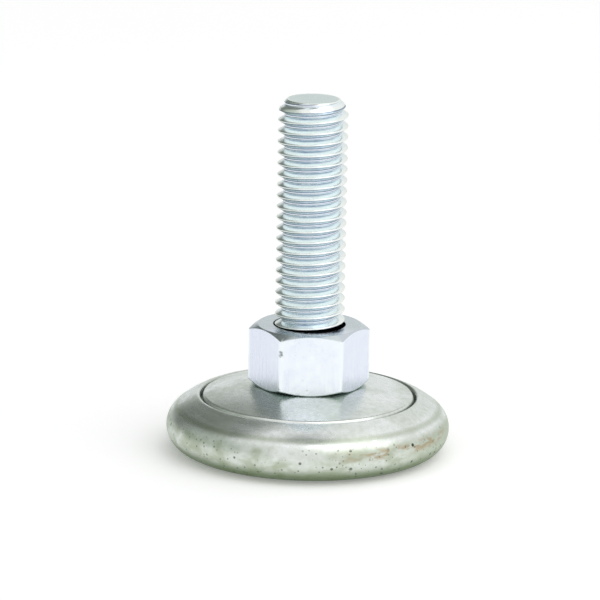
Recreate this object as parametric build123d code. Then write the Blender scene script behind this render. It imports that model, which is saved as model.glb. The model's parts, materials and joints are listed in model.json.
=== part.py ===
"""Furniture leveling foot: a rolled steel base that turns under a threaded stud with a jam nut.

Units are millimetres. +Z points up along the stud. The origin is on the stud's axis, in the
plane of the floor. Outlines of round pieces are drawn as (radius, height) and turned about Z.
"""

import os
from math import acos, cos, degrees, radians, sin, sqrt, tan

from build123d import *

# ---- Thread: inch size 1/2-13, right-hand, with its outside diameter inside the usual limits ----
THREAD_DIAMETER = 12.5
THREAD_PITCH = 25.4 / 13
THREAD_FLANK_ANGLE = 30.0
THREAD_DEPTH_SHARE = 0.6134  # depth of an outside thread over its pitch
NUT_DEPTH_SHARE = 0.5413  # depth of an inside thread over its pitch
CREST_FLAT_SHARE = 0.125  # flat on the crest over the pitch
THREAD_FLANK_CLEARANCE = 0.10  # measured square to the flank
THREAD_CREST_CLEARANCE = 0.15  # between crests and the roots they face
THREAD_START_ANGLE = 123.0  # where the groove leaves the relief, seen from above
GROOVE_OVERSHOOT = 0.35  # how far the groove's cutter reaches outside the crests
ROD_OVERRUN = 5.0  # plain rod left past the end of a groove, to be trimmed off

# ---- Stud ----
STUD_REACH = 51.9  # from the nut's seat to the stud's end
STUD_END_INSET = 1.59  # how far the end face lies inside the thread's crests
STUD_END_RUN = 2.0  # height over which the end tapers
HEAD_DIAMETER = 17.0
HEAD_EDGE_ROUNDING = 0.6
RELIEF_HEIGHT = 1.9  # undercut between the journal and the thread
RELIEF_EXTRA_DEPTH = 0.05
JOURNAL_CLEARANCE = 0.08  # between the stud's journal and the hole in the top plate
HEAD_END_PLAY = 0.10  # between the head and the top plate

# ---- Jam nut ----
NUT_ACROSS_FLATS = 18.9
NUT_HEIGHT = 11.0
NUT_CHAMFER_CIRCLE = 18.5  # circle that the corner chamfer leaves on each face
NUT_CHAMFER_ANGLE = 30.0
NUT_COUNTERSINK_EXTRA = 0.8  # mouth of the countersink over the thread's diameter
NUT_COUNTERSINK_ANGLE = 30.0
NUT_TAP_OVERRUN = 2  # whole turns by which the tapped thread runs past each end of the nut

# ---- Base: rolled rim shell ----
BASE_DIAMETER = 50.8
SHEET_THICKNESS = 1.5
ROLL_RADIUS = 4.2  # outside radius of the rolled edge
SHOULDER_ANGLE = 50.0  # where the roll runs into the crown, above the horizontal
CROWN_RADIUS = 14.3  # outside radius of the crown's section
LIP_RADIUS = 19.55  # where the crimped lip is cut off, on its outer side
LIP_TOP_ROUNDING = 0.45
BOTTOM_OPENING_RADIUS = 18.6

# ---- Base: plates and pad ----
TOP_PLATE_THICKNESS = 2.0
SEAT_HEIGHT = 12.1  # the nut's seat above the floor
SEAT_DIAMETER = 20.4
PLATE_EDGE_HEIGHT = 10.2  # top of the conical part where it meets the groove
PLATE_CROWN_BULGE = 0.12  # rise of the cone's section over a straight line
PLATE_EDGE_ROUNDING = 0.9
GROOVE_WIDTH = 0.60  # between the lip and the plate's raised part
FLANGE_RADIUS = 21.3  # the part of the top plate that the lip is crimped over
FLANGE_EDGE_THICKNESS = 1.2  # upright outer edge of that flange
STIFFENER_WALL = 2.6  # flat under the flange that the stiffener ring carries
BACKING_PLATE_THICKNESS = 2.0
BACKING_PLATE_GAP = 0.2  # around the backing plate, inside the roll
PILOT_DIAMETER = 6.0
PILOT_HEIGHT = 1.1
PILOT_CLEARANCE = 0.08
WASHER_DIAMETER = 16.0
WASHER_THICKNESS = 1.5
PAD_PROUD = 0.3  # the pad stands this far below the rim shell
PAD_GAP = 0.2  # between the pad and the rim shell's opening
PAD_EDGE_CHAMFER = 0.4

# ---- Sizes that follow from the ones above ----
THREAD_RADIUS = THREAD_DIAMETER / 2
THREAD_ROOT_RADIUS = THREAD_RADIUS - THREAD_DEPTH_SHARE * THREAD_PITCH
FLANK_SLOPE = 2 * tan(radians(THREAD_FLANK_ANGLE))  # width gained per unit of depth, both flanks
ROLL_CENTRE = (BASE_DIAMETER / 2 - ROLL_RADIUS, PAD_PROUD + ROLL_RADIUS)
BACKING_BOTTOM = PAD_PROUD + SHEET_THICKNESS
BACKING_TOP = BACKING_BOTTOM + BACKING_PLATE_THICKNESS
HEAD_BOTTOM = BACKING_TOP + WASHER_THICKNESS
PLATE_UNDERSIDE = SEAT_HEIGHT - TOP_PLATE_THICKNESS
HEAD_TOP = PLATE_UNDERSIDE - HEAD_END_PLAY
STUD_TOP = SEAT_HEIGHT + STUD_REACH
JOURNAL_TOP = SEAT_HEIGHT - TOP_PLATE_THICKNESS / 2
THREAD_BOTTOM = JOURNAL_TOP + RELIEF_HEIGHT
GROOVE_START = JOURNAL_TOP + RELIEF_HEIGHT / 2


def on_circle(centre, radius, angle):
    """Point at an angle in degrees on a circle in the outline plane."""
    return (centre[0] + radius * cos(radians(angle)), centre[1] + radius * sin(radians(angle)))


def angle_at(centre, arc_radius, radius):
    """Angle in degrees at which an arc's upper half stands at a given distance from the axis."""
    return degrees(acos((radius - centre[0]) / arc_radius))


def arc(centre, radius, start, end):
    """Circular arc in the outline plane, between two angles in degrees."""
    return CenterArc((centre[0], centre[1], 0), radius, start, end - start)


def turned(edges):
    """Solid of revolution from the edges of a closed (radius, height) outline."""
    return revolve(Plane.XZ * make_face(edges), Axis.Z, 360)


def disc(radius, bottom, top):
    """Plain round disc on the stud's axis."""
    standing = (Align.CENTER, Align.CENTER, Align.MIN)
    return Pos(0, 0, bottom) * Cylinder(radius, top - bottom, align=standing)


def ring(inner, outer, bottom, top):
    """Flat ring on the stud's axis."""
    return disc(outer, bottom, top) - disc(inner, bottom, top)


# Centre of the crown's arc, which runs tangent into the rolled edge at the shoulder
CROWN_CENTRE = on_circle(ROLL_CENTRE, ROLL_RADIUS - CROWN_RADIUS, SHOULDER_ANGLE)
CROWN_UNDER_RADIUS = CROWN_RADIUS - SHEET_THICKNESS
FLANGE_ANGLE = angle_at(CROWN_CENTRE, CROWN_UNDER_RADIUS, FLANGE_RADIUS)
FLANGE_OUTER = on_circle(CROWN_CENTRE, CROWN_UNDER_RADIUS, FLANGE_ANGLE)
STIFFENER_TOP = FLANGE_OUTER[1] - FLANGE_EDGE_THICKNESS


def make_rim_shell():
    """Sheet steel ring: crimped lip, domed crown, rolled edge and turned-in bottom flange."""
    lip_angle = angle_at(CROWN_CENTRE, CROWN_RADIUS, LIP_RADIUS)
    inner_roll = ROLL_RADIUS - SHEET_THICKNESS
    bottom = on_circle(ROLL_CENTRE, ROLL_RADIUS, -90)
    inner_bottom = on_circle(ROLL_CENTRE, inner_roll, -90)
    outline = [
        arc(CROWN_CENTRE, CROWN_RADIUS, lip_angle, SHOULDER_ANGLE),
        arc(ROLL_CENTRE, ROLL_RADIUS, SHOULDER_ANGLE, -90),
        Line(bottom, (BOTTOM_OPENING_RADIUS, PAD_PROUD)),
        Line((BOTTOM_OPENING_RADIUS, PAD_PROUD), (BOTTOM_OPENING_RADIUS, BACKING_BOTTOM)),
        Line((BOTTOM_OPENING_RADIUS, BACKING_BOTTOM), inner_bottom),
        arc(ROLL_CENTRE, inner_roll, -90, SHOULDER_ANGLE),
        arc(CROWN_CENTRE, CROWN_UNDER_RADIUS, SHOULDER_ANGLE, lip_angle),
        Line(
            on_circle(CROWN_CENTRE, CROWN_UNDER_RADIUS, lip_angle),
            on_circle(CROWN_CENTRE, CROWN_RADIUS, lip_angle),
        ),
    ]
    shell = turned(outline)
    lip_edges = shell.edges().filter_by(GeomType.CIRCLE).filter_by(
        lambda edge: edge.radius < LIP_RADIUS + LIP_TOP_ROUNDING and edge.center().Z > SEAT_HEIGHT / 2
    ).sort_by(Axis.Z)
    return fillet(lip_edges[-1], LIP_TOP_ROUNDING)


def make_top_plate():
    """Conical steel plate with a flat seat for the nut and a lower flange under the crimped lip."""
    hole = THREAD_RADIUS + JOURNAL_CLEARANCE
    seat = SEAT_DIAMETER / 2
    edge_radius = LIP_RADIUS - GROOVE_WIDTH
    groove_angle = angle_at(CROWN_CENTRE, CROWN_UNDER_RADIUS, edge_radius)
    groove_floor = on_circle(CROWN_CENTRE, CROWN_UNDER_RADIUS, groove_angle)
    under_break = seat + TOP_PLATE_THICKNESS / 2
    cone_rise = (SEAT_HEIGHT + PLATE_EDGE_HEIGHT) / 2 + PLATE_CROWN_BULGE
    cone_middle = ((seat + edge_radius) / 2, cone_rise)
    outline = [
        Line((hole, PLATE_UNDERSIDE), (hole, SEAT_HEIGHT)),
        Line((hole, SEAT_HEIGHT), (seat, SEAT_HEIGHT)),
        ThreePointArc((seat, SEAT_HEIGHT), cone_middle, (edge_radius, PLATE_EDGE_HEIGHT)),
        Line((edge_radius, PLATE_EDGE_HEIGHT), groove_floor),
        arc(CROWN_CENTRE, CROWN_UNDER_RADIUS, groove_angle, FLANGE_ANGLE),
        Line(FLANGE_OUTER, (FLANGE_RADIUS, STIFFENER_TOP)),
        Line((FLANGE_RADIUS, STIFFENER_TOP), (FLANGE_RADIUS - STIFFENER_WALL, STIFFENER_TOP)),
        Line((FLANGE_RADIUS - STIFFENER_WALL, STIFFENER_TOP), (under_break, PLATE_UNDERSIDE)),
        Line((under_break, PLATE_UNDERSIDE), (hole, PLATE_UNDERSIDE)),
    ]
    plate = turned(outline)
    rounded = plate.edges().filter_by(GeomType.CIRCLE).filter_by(
        lambda edge: abs(edge.radius - edge_radius) < 0.01
    ).sort_by(Axis.Z)[-1]
    return fillet(rounded, PLATE_EDGE_ROUNDING)


def make_stiffener_ring():
    """Steel ring that holds the top plate's flange and the backing plate apart inside the roll."""
    inner = FLANGE_RADIUS - STIFFENER_WALL
    return ring(inner, FLANGE_RADIUS - BACKING_PLATE_GAP, BACKING_TOP, STIFFENER_TOP)


def make_backing_plate():
    """Steel disc over the bottom opening, with a pilot that centres the thrust washer."""
    plate = disc(ROLL_CENTRE[0] - BACKING_PLATE_GAP, BACKING_BOTTOM, BACKING_TOP)
    return plate + disc(PILOT_DIAMETER / 2, BACKING_BOTTOM, BACKING_TOP + PILOT_HEIGHT)


def make_floor_pad():
    """Pad that fills the bottom opening and stands a little proud of the shell."""
    pad = disc(BOTTOM_OPENING_RADIUS - PAD_GAP, 0, BACKING_BOTTOM)
    return chamfer(pad.edges().group_by(Axis.Z)[0], PAD_EDGE_CHAMFER)


def make_thrust_washer():
    """Low-friction washer between the stud's head and the backing plate."""
    return ring(PILOT_DIAMETER / 2 + PILOT_CLEARANCE, WASHER_DIAMETER / 2, BACKING_TOP, HEAD_BOTTOM)


def groove_width(radius):
    """Width of the stud's thread groove at a distance from the axis."""
    return THREAD_PITCH * (1 - CREST_FLAT_SHARE) - FLANK_SLOPE * (THREAD_RADIUS - radius)


def threaded_rod(radius, floor_radius, side_gap, start_height, below, run):
    """Round rod with a right-hand thread cut in it: a trapezoid groove swept up a helix on its axis.

    The groove begins at start_height and climbs by run, and the rod is plain beyond both ends of it.
    The groove lies on the stud's own helix, and side_gap narrows it along the axis.
    """
    edge = THREAD_RADIUS + THREAD_CREST_CLEARANCE + GROOVE_OVERSHOOT
    floor_half = (groove_width(floor_radius) - side_gap) / 2
    edge_half = (groove_width(edge) - side_gap) / 2
    depth = edge - floor_radius
    section = make_face(
        Polyline((0, -floor_half), (depth, -edge_half), (depth, edge_half), (0, floor_half), close=True)
    )
    plane = Plane(origin=(floor_radius, 0, 0), x_dir=(1, 0, 0), z_dir=(0, -1, 0))
    helix = Helix(THREAD_PITCH, run, floor_radius)
    groove = sweep(plane * section, path=helix, is_frenet=True)
    rod = disc(radius, -below, run + ROD_OVERRUN) - groove
    return Pos(0, 0, start_height) * Rot(0, 0, THREAD_START_ANGLE) * rod


def make_threaded_stud():
    """Stud with a flat round head, a plain journal, a relief and a thread to its far end."""
    head = disc(HEAD_DIAMETER / 2, HEAD_BOTTOM, HEAD_TOP)
    head = fillet(head.edges().filter_by(GeomType.CIRCLE), HEAD_EDGE_ROUNDING)
    below = GROOVE_START - HEAD_TOP + HEAD_EDGE_ROUNDING
    run = STUD_TOP + THREAD_PITCH - GROOVE_START
    shank = threaded_rod(THREAD_RADIUS, THREAD_ROOT_RADIUS, 0, GROOVE_START, below, run)
    shank -= ring(THREAD_ROOT_RADIUS - RELIEF_EXTRA_DEPTH, HEAD_DIAMETER / 2, JOURNAL_TOP, THREAD_BOTTOM)
    end = THREAD_RADIUS - STUD_END_INSET
    past = STUD_TOP + 2 * THREAD_PITCH + ROD_OVERRUN
    trim = turned(
        Polyline(
            (0, STUD_TOP),
            (end, STUD_TOP),
            (end + 2 * STUD_END_INSET, STUD_TOP - 2 * STUD_END_RUN),
            (end + 2 * STUD_END_INSET, past),
            (0, past),
            close=True,
        )
    )
    return head + (shank - trim)


def make_hex_nut():
    """Hexagon jam nut, chamfered and countersunk at both ends, with a mating inside thread."""
    bottom = SEAT_HEIGHT
    top = SEAT_HEIGHT + NUT_HEIGHT
    corner = NUT_ACROSS_FLATS / sqrt(3)
    chamfer_radius = NUT_CHAMFER_CIRCLE / 2
    drop = (corner - chamfer_radius) * tan(radians(NUT_CHAMFER_ANGLE))
    hexagon = Pos(0, 0, bottom) * extrude(RegularPolygon(corner, 6), NUT_HEIGHT)
    envelope = turned(
        Polyline(
            (0, bottom),
            (chamfer_radius, bottom),
            (corner, bottom + drop),
            (corner, top - drop),
            (chamfer_radius, top),
            (0, top),
            close=True,
        )
    )
    bore = THREAD_RADIUS - NUT_DEPTH_SHARE * THREAD_PITCH + THREAD_CREST_CLEARANCE
    mouth = THREAD_RADIUS + NUT_COUNTERSINK_EXTRA / 2
    sink = (mouth - bore) * tan(radians(NUT_COUNTERSINK_ANGLE))
    countersinks = turned(
        Polyline(
            (0, bottom),
            (mouth, bottom),
            (bore, bottom + sink),
            (bore, top - sink),
            (mouth, top),
            (0, top),
            close=True,
        )
    )
    side_gap = 2 * THREAD_FLANK_CLEARANCE / cos(radians(THREAD_FLANK_ANGLE))
    start = GROOVE_START - NUT_TAP_OVERRUN * THREAD_PITCH
    run = top + NUT_TAP_OVERRUN * THREAD_PITCH - start
    tap = threaded_rod(THREAD_RADIUS + THREAD_CREST_CLEARANCE, bore, side_gap, start, ROD_OVERRUN, run)
    return (hexagon & envelope) - tap - countersinks


PIECES = {
    "rim_shell": make_rim_shell,
    "top_plate": make_top_plate,
    "stiffener_ring": make_stiffener_ring,
    "backing_plate": make_backing_plate,
    "floor_pad": make_floor_pad,
    "thrust_washer": make_thrust_washer,
    "threaded_stud": make_threaded_stud,
    "hex_nut": make_hex_nut,
}

os.makedirs("parts", exist_ok=True)
for name, make in PIECES.items():
    export_step(make(), f"parts/{name}.step")
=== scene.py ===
"""Furniture leveling foot: the visible pieces, their finishes and a small studio, around the CAD frame.

Everything is in metres and stands in the CAD model's own frame: +Z runs up the stud and the floor
is at height zero. Round pieces are drawn as (radius, height) outlines and spun about the stud's axis.
"""

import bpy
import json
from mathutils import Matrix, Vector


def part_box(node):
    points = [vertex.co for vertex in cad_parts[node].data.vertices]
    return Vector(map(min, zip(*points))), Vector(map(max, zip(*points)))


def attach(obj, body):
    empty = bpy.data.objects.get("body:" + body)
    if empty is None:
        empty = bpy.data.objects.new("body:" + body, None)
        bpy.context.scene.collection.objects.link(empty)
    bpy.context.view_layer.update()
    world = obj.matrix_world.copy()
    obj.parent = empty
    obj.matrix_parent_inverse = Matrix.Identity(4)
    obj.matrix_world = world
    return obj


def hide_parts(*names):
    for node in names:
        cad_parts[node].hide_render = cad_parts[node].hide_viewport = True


bl_info = {
    "name": "Leveling Foot",
    "version": (1, 0, 0),
    "blender": (4, 5, 0),
    "location": "3D View > Sidebar > Leveling Foot",
    "description": "Builds the visible pieces, finishes and studio of a furniture leveling foot",
    "category": "Object",
}

import json
from math import acos, atan2, cos, pi, radians, sin, sqrt, tan

import bmesh
import bpy
from bpy.props import FloatProperty, FloatVectorProperty, IntProperty, PointerProperty
from mathutils import Matrix, Vector, noise

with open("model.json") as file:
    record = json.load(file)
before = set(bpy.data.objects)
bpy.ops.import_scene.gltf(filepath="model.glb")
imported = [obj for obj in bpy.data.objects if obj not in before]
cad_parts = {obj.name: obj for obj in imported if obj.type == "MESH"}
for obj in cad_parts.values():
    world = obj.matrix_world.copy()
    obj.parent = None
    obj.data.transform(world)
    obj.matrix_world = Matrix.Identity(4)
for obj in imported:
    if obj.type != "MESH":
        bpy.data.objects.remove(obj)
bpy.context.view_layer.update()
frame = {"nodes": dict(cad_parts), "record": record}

MM = 0.001


# ---- Places read from the frame ----


def mount(name):
    """The record's mount of that name."""
    return next(m for m in frame["record"]["mounts"] if m["name"] == name)


RIM_LOW, RIM_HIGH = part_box("rim_shell")
_, PLATE_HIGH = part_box("top_plate")
_, PAD_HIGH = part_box("floor_pad")
STUD_LOW, STUD_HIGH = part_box("threaded_stud")
NUT_LOW, NUT_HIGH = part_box("hex_nut")
THREAD_RADIUS = mount("stud_thread")["dims"]["r_mm"] * MM
THREAD_PITCH = frame["record"]["behaviour"]["couplings"][0]["ratio"] * 2 * pi
FLANK_ANGLE = radians(30)
SECTORS = 8


# ---- Sizes and colours that a user would change ----


def length(label, text, default):
    """A length property; the default is in millimetres."""
    return FloatProperty(
        name=label, description=text, default=default * MM, unit="LENGTH", precision=5, min=0.0
    )


def turn(label, text, default):
    """An angle property; the default is in degrees."""
    return FloatProperty(name=label, description=text, default=radians(default), unit="ROTATION")


def count(label, text, default):
    """A whole number property."""
    return IntProperty(name=label, description=text, default=default, min=4)


def colour(label, text, default):
    """A linear colour property."""
    return FloatVectorProperty(
        name=label, description=text, default=default, subtype="COLOR", size=3, min=0.0, max=1.0
    )


class LevelingFootThread(bpy.types.PropertyGroup):
    """Shape of the thread on the stud."""

    root_radius: length("Root radius", "Radius at the bottom of the groove", 5.0515)
    crest_rounding: length("Crest rounding", "Radius rolled on the thread's crests", 0.19)
    start_angle: turn("Start angle", "Where the groove's middle stands at the groove height", 123.0)
    groove_height: length("Groove height", "Height of the groove's middle at the start angle", 12.05)
    bottom: length("Thread bottom", "Height of the lowest full thread above the floor", 13.0)
    end_inset: length("End inset", "How far the end face lies inside the crests", 1.59)
    end_run: length("End run", "Height over which the end curves in", 2.4)
    journal_top: length("Journal top", "Top of the plain journal above the floor", 11.1)
    relief_radius: length("Relief radius", "Radius of the undercut below the thread", 5.0)
    head_top: length("Head top", "Top of the hidden head above the floor", 10.0)
    head_rounding: length("Head rounding", "Rounding on the edges of the hidden head", 0.6)
    steps: count("Steps", "Facets in one turn of the thread", 96)


class LevelingFootNut(bpy.types.PropertyGroup):
    """Sizes of the jam nut that its box doesn't give."""

    chamfer_circle: length("Chamfer circle", "Radius of the circle that the chamfer leaves", 9.25)
    mouth_radius: length("Mouth radius", "Radius of the countersink at each face", 6.5)
    bore_radius: length("Bore radius", "Radius inside the thread's crests", 5.342)
    tap_radius: length("Tap radius", "Radius at the bottom of the nut's thread", 6.4)
    crest_width: length("Crest width", "Width of the thread's crest along the axis", 0.43)
    corner_rounding: length("Corner rounding", "Rounding on the upright corners", 0.5)
    edge_rounding: length("Edge rounding", "Rounding where the flats meet the chamfers", 0.18)
    burr: length("Burr", "How far the burr on the lower corner stands out", 0.16)
    steps: count("Steps", "Facets around the nut", 720)
    rows: count("Rows", "Rows of faces up each flat", 58)


class LevelingFootBase(bpy.types.PropertyGroup):
    """Section of the rolled rim, the top plate and the pad."""

    sheet: length("Sheet", "Thickness of the rim's sheet steel", 1.5)
    roll: length("Roll radius", "Outside radius of the rolled edge", 4.2)
    shoulder: turn("Shoulder angle", "Where the roll runs into the crown", 50.0)
    crown: length("Crown radius", "Radius of the crown's section", 14.3)
    lip: length("Lip radius", "Distance from the axis at which the lip is cut off", 19.55)
    lip_rounding: length("Lip rounding", "Rounding on the lip's upper edge", 0.45)
    opening: length("Bottom opening", "Radius of the opening in the underside", 18.6)
    seat: length("Seat radius", "Radius of the flat that the nut sits on", 10.2)
    plate: length("Plate thickness", "Thickness of the top plate", 2.0)
    plate_edge: length("Plate edge height", "Height of the cone's outer edge", 10.2)
    plate_bulge: length("Plate bulge", "Rise of the cone's section over a straight line", 0.12)
    plate_rounding: length("Plate rounding", "Rounding on the plate's raised edge", 0.9)
    groove: length("Groove width", "Gap between the lip and the plate's raised part", 0.6)
    flange_edge: length("Flange edge", "Thickness of the flange's outer edge", 1.2)
    wall: length("Stiffener wall", "Width of the flange's flat underside", 2.6)
    hole: length("Hole radius", "Radius of the stud's hole in the plate", 6.33)
    pad_chamfer: length("Pad chamfer", "Chamfer on the pad's lower edge", 0.4)
    waviness: length("Waviness", "Depth of the shallow unevenness in the pressed steel", 0.05)
    steps: count("Steps", "Facets around the base", 256)


class LevelingFootColours(bpy.types.PropertyGroup):
    """Finish colours, as linear values."""

    base: colour("Base steel", "Satin zinc plate on the base", (0.90, 0.93, 0.93))
    # This colour serves the base's duller patches and also its painted shade.
    base_dull_and_shade: colour("Base shade", "Duller, greener patches of the base", (0.46, 0.51, 0.40))
    stain: colour("Base stain", "Brown staining on the side of the base", (0.42, 0.33, 0.20))
    # The lower edge's olive plate, darkened with painted shade of the shadowed floor that it reflects.
    low: colour("Low edge", "Dull olive of the base's lower edge", (0.17, 0.23, 0.11))
    # The grime colour also paints shade in the base's groove.
    grime: colour("Grime", "Dirt in pits and grooves", (0.07, 0.08, 0.055))
    nut: colour("Nut", "Bright zinc plate on the nut", (0.88, 0.93, 0.97))
    # Also painted as shade on the nut's side flats.
    nut_violet_and_shade: colour("Nut tint", "Violet shift of the nut's thin film", (0.74, 0.77, 0.90))
    # Also painted as shade on the lower chamfer and on the end faces away from the front.
    nut_green_and_shade: colour("Nut green", "Green shift on the nut's turned faces", (0.42, 0.50, 0.48))
    stud_root: colour("Stud root", "Lavender white in the thread's roots", (0.86, 0.88, 0.98))
    # Painted shade: dark lines beside the thread's roots and crests.
    stud_shade_lines: colour("Stud deep", "Deep blue lines beside the roots and crests", (0.14, 0.22, 0.34))
    stud_crest: colour("Stud crest", "Pale plate on the thread's crests", (0.93, 0.97, 0.94))
    stud_upper: colour("Stud upper", "Light blue on the flanks", (0.84, 0.93, 0.97))
    stud_end: colour("Stud end", "Greener plate on the end face", (0.66, 0.76, 0.75))
    mill: colour("Mill steel", "Uncoated steel inside the base", (0.44, 0.44, 0.43))
    pad: colour("Pad", "Dark nylon of the floor pad", (0.020, 0.021, 0.020))
    washer: colour("Washer", "Natural nylon of the thrust washer", (0.74, 0.72, 0.64))
    floor: colour("Floor", "Pale studio floor", (0.93, 0.93, 0.93))


class LevelingFootStudio(bpy.types.PropertyGroup):
    """Camera place and the strength of the light."""

    distance: length("Distance", "Level distance from the axis to the camera", 710.3)
    height: length("Height", "Height of the camera above the floor", 204.4)
    around: turn("Around", "How far the camera stands round from the nut's front flat", -2.35)
    aside: turn("Aside", "How far the camera looks to one side of the axis", -0.143)
    down: turn("Down", "How far the camera looks down", 13.99)
    lean: turn("Lean", "Lean of the camera about its line of sight", 1.04)
    lens: FloatProperty(name="Lens", description="Focal length in millimetres", default=246.4, min=1.0)
    sky: FloatProperty(name="Sky", description="Strength of the surrounding room", default=0.92, min=0.0)


# Small marks: angle in degrees, height, radius and depth in millimetres; a negative depth stands out
RIM_DENTS = (
    (-118.0, 5.1, 0.55, 0.16),
    (-113.0, 4.3, 0.40, 0.12),
    (-127.0, 5.6, 0.50, 0.12),
    (-69.0, 5.9, 0.60, 0.10),
    (-58.0, 6.3, 0.45, 0.12),
    (-101.0, 6.1, 0.55, 0.10),
    (-84.0, 5.0, 0.40, 0.08),
    (35.0, 5.4, 0.60, 0.14),
    (120.0, 4.8, 0.50, 0.12),
)
NUT_NICK = (240.0, 19.9, 0.60, 0.38)
NUT_BURR = (240.4, 12.75, 0.55)
NUT_DENTS = (
    (239.2, 13.6, 0.30, -0.07),
    (255.3, 12.35, 0.26, 0.20),
    (257.3, 12.30, 0.24, 0.20),
    (266.0, 13.1, 0.24, 0.06),
    (233.0, 20.9, 0.30, 0.08),
    (241.5, 22.4, 0.35, 0.10),
    (302.0, 22.6, 0.30, 0.06),
    (58.0, 16.0, 0.40, 0.16),
    (121.0, 19.0, 0.35, 0.12),
)


# ---- Mesh helpers ----


def on_circle(centre, radius, angle):
    """Point at an angle in radians on a circle in the outline plane."""
    return (centre[0] + radius * cos(angle), centre[1] + radius * sin(angle))


def arc(centre, radius, start, end, pieces):
    """Points along a circular arc in the outline plane, both ends included."""
    return [on_circle(centre, radius, start + (end - start) * i / pieces) for i in range(pieces + 1)]


def run(start, end, pieces):
    """Evenly spaced points strictly between two outline points."""
    return [
        tuple(Vector(start).lerp(Vector(end), i / pieces))
        for i in range(1, pieces)
    ]


def angle_at(centre, arc_radius, radius):
    """Angle at which an arc's upper half stands at a given distance from the axis."""
    return acos((radius - centre[0]) / arc_radius)


def rounded(before, corner, after, radius, pieces):
    """Arc of a given radius that stands for the corner between two straight runs."""
    back = (Vector(before) - Vector(corner)).normalized()
    onward = (Vector(after) - Vector(corner)).normalized()
    half = acos(max(-1.0, min(1.0, back.dot(onward)))) / 2
    centre = Vector(corner) + (back + onward).normalized() * (radius / sin(half))
    first = Vector(corner) + back * (radius / tan(half)) - centre
    last = Vector(corner) + onward * (radius / tan(half)) - centre
    start = atan2(first.y, first.x)
    sweep = (atan2(last.y, last.x) - start + pi) % (2 * pi) - pi
    return arc(tuple(centre), radius, start, start + sweep, pieces)


def wire(mesh, outline, closed):
    """Vertices and edges along a (radius, height) outline, in the plane of the X and Z axes."""
    verts = [mesh.verts.new((radius, 0.0, height)) for radius, height in outline]
    pairs = list(zip(verts, verts[1:]))
    if closed:
        pairs.append((verts[-1], verts[0]))
    return verts + [mesh.edges.new(pair) for pair in pairs]


def lathe(mesh, outline, steps, closed):
    """Spins an outline a part of the way round the stud's axis, then copies that part round the rest."""
    before = set(mesh.verts)
    bmesh.ops.spin(
        mesh,
        geom=wire(mesh, outline, closed),
        cent=(0, 0, 0),
        axis=(0, 0, 1),
        dvec=(0, 0, 0),
        angle=2 * pi / SECTORS,
        steps=steps // SECTORS,
        use_merge=False,
        use_duplicate=False,
    )
    copy_on(mesh, before, SECTORS, Matrix.Rotation(2 * pi / SECTORS, 4, "Z"))
    bmesh.ops.remove_doubles(mesh, verts=mesh.verts, dist=1e-7)


def copy_on(mesh, before, total, move):
    """Repeats what was added since `before`, each copy moved on from the last by the same step."""
    added = [vert for vert in mesh.verts if vert not in before]
    geom = added + [face for face in mesh.faces if face.verts[0] not in before]
    step = move.copy()
    for _ in range(total - 1):
        copies = bmesh.ops.duplicate(mesh, geom=geom)["geom"]
        moved = [item for item in copies if isinstance(item, bmesh.types.BMVert)]
        bmesh.ops.transform(mesh, matrix=step, verts=moved)
        step = move @ step


def helix(mesh, outline, low, high, thread):
    """Winds a one-pitch outline up the stud's helix and cuts it level at both heights."""
    first = int((low - thread.groove_height) / THREAD_PITCH) - 3
    last = int((high - thread.groove_height) / THREAD_PITCH) + 3
    bottom = thread.groove_height + first * THREAD_PITCH
    points = [(radius, height + bottom) for radius, height in outline]
    points.append((outline[0][0], outline[0][1] + bottom + THREAD_PITCH))
    before = set(mesh.verts)
    strip = wire(mesh, points, closed=False)
    bmesh.ops.rotate(
        mesh,
        verts=strip[: len(points)],
        cent=(0, 0, 0),
        matrix=Matrix.Rotation(thread.start_angle, 3, "Z"),
    )
    bmesh.ops.spin(
        mesh,
        geom=strip,
        cent=(0, 0, 0),
        axis=(0, 0, 1),
        dvec=(0, 0, THREAD_PITCH / thread.steps),
        angle=2 * pi,
        steps=thread.steps,
        use_merge=False,
        use_duplicate=False,
    )
    copy_on(mesh, before, last - first, Matrix.Translation((0, 0, THREAD_PITCH)))
    bmesh.ops.remove_doubles(mesh, verts=mesh.verts, dist=2e-6)
    for height, up in ((low, -1), (high, 1)):
        bmesh.ops.bisect_plane(
            mesh,
            geom=mesh.verts[:] + mesh.edges[:] + mesh.faces[:],
            dist=1e-8,
            plane_co=(0, 0, height),
            plane_no=(0, 0, up),
            clear_outer=True,
            clear_inner=False,
        )


def rim_at(mesh, height):
    """Open edges that lie at a given height."""
    return [
        edge
        for edge in mesh.edges
        if edge.is_boundary and all(abs(vert.co.z - height) < 1e-6 for vert in edge.verts)
    ]


def dent(mesh, place, radius, depth):
    """Presses a small round hollow into the surface, towards the axis; a negative depth raises it."""
    level = [vert for vert in mesh.verts if abs(vert.co.z - place.z) < radius]
    for vert in level:
        near = (vert.co - place).length / radius
        if near < 1:
            flat = Vector((vert.co.x, vert.co.y, 0.0)).normalized()
            vert.co -= flat * depth * (1 - near * near) ** 2


def make_object(mesh, name, material, sharp=35.0):
    """Turns a bmesh into a finished, smooth-shaded object at the origin."""
    bmesh.ops.recalc_face_normals(mesh, faces=mesh.faces)
    data = bpy.data.meshes.new(name)
    mesh.to_mesh(data)
    mesh.free()
    data.shade_smooth()
    data.set_sharp_from_angle(angle=radians(sharp))
    data.materials.append(material)
    made = bpy.data.objects.new(name, data)
    bpy.context.collection.objects.link(made)
    return made


# ---- Shader helpers ----


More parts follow.
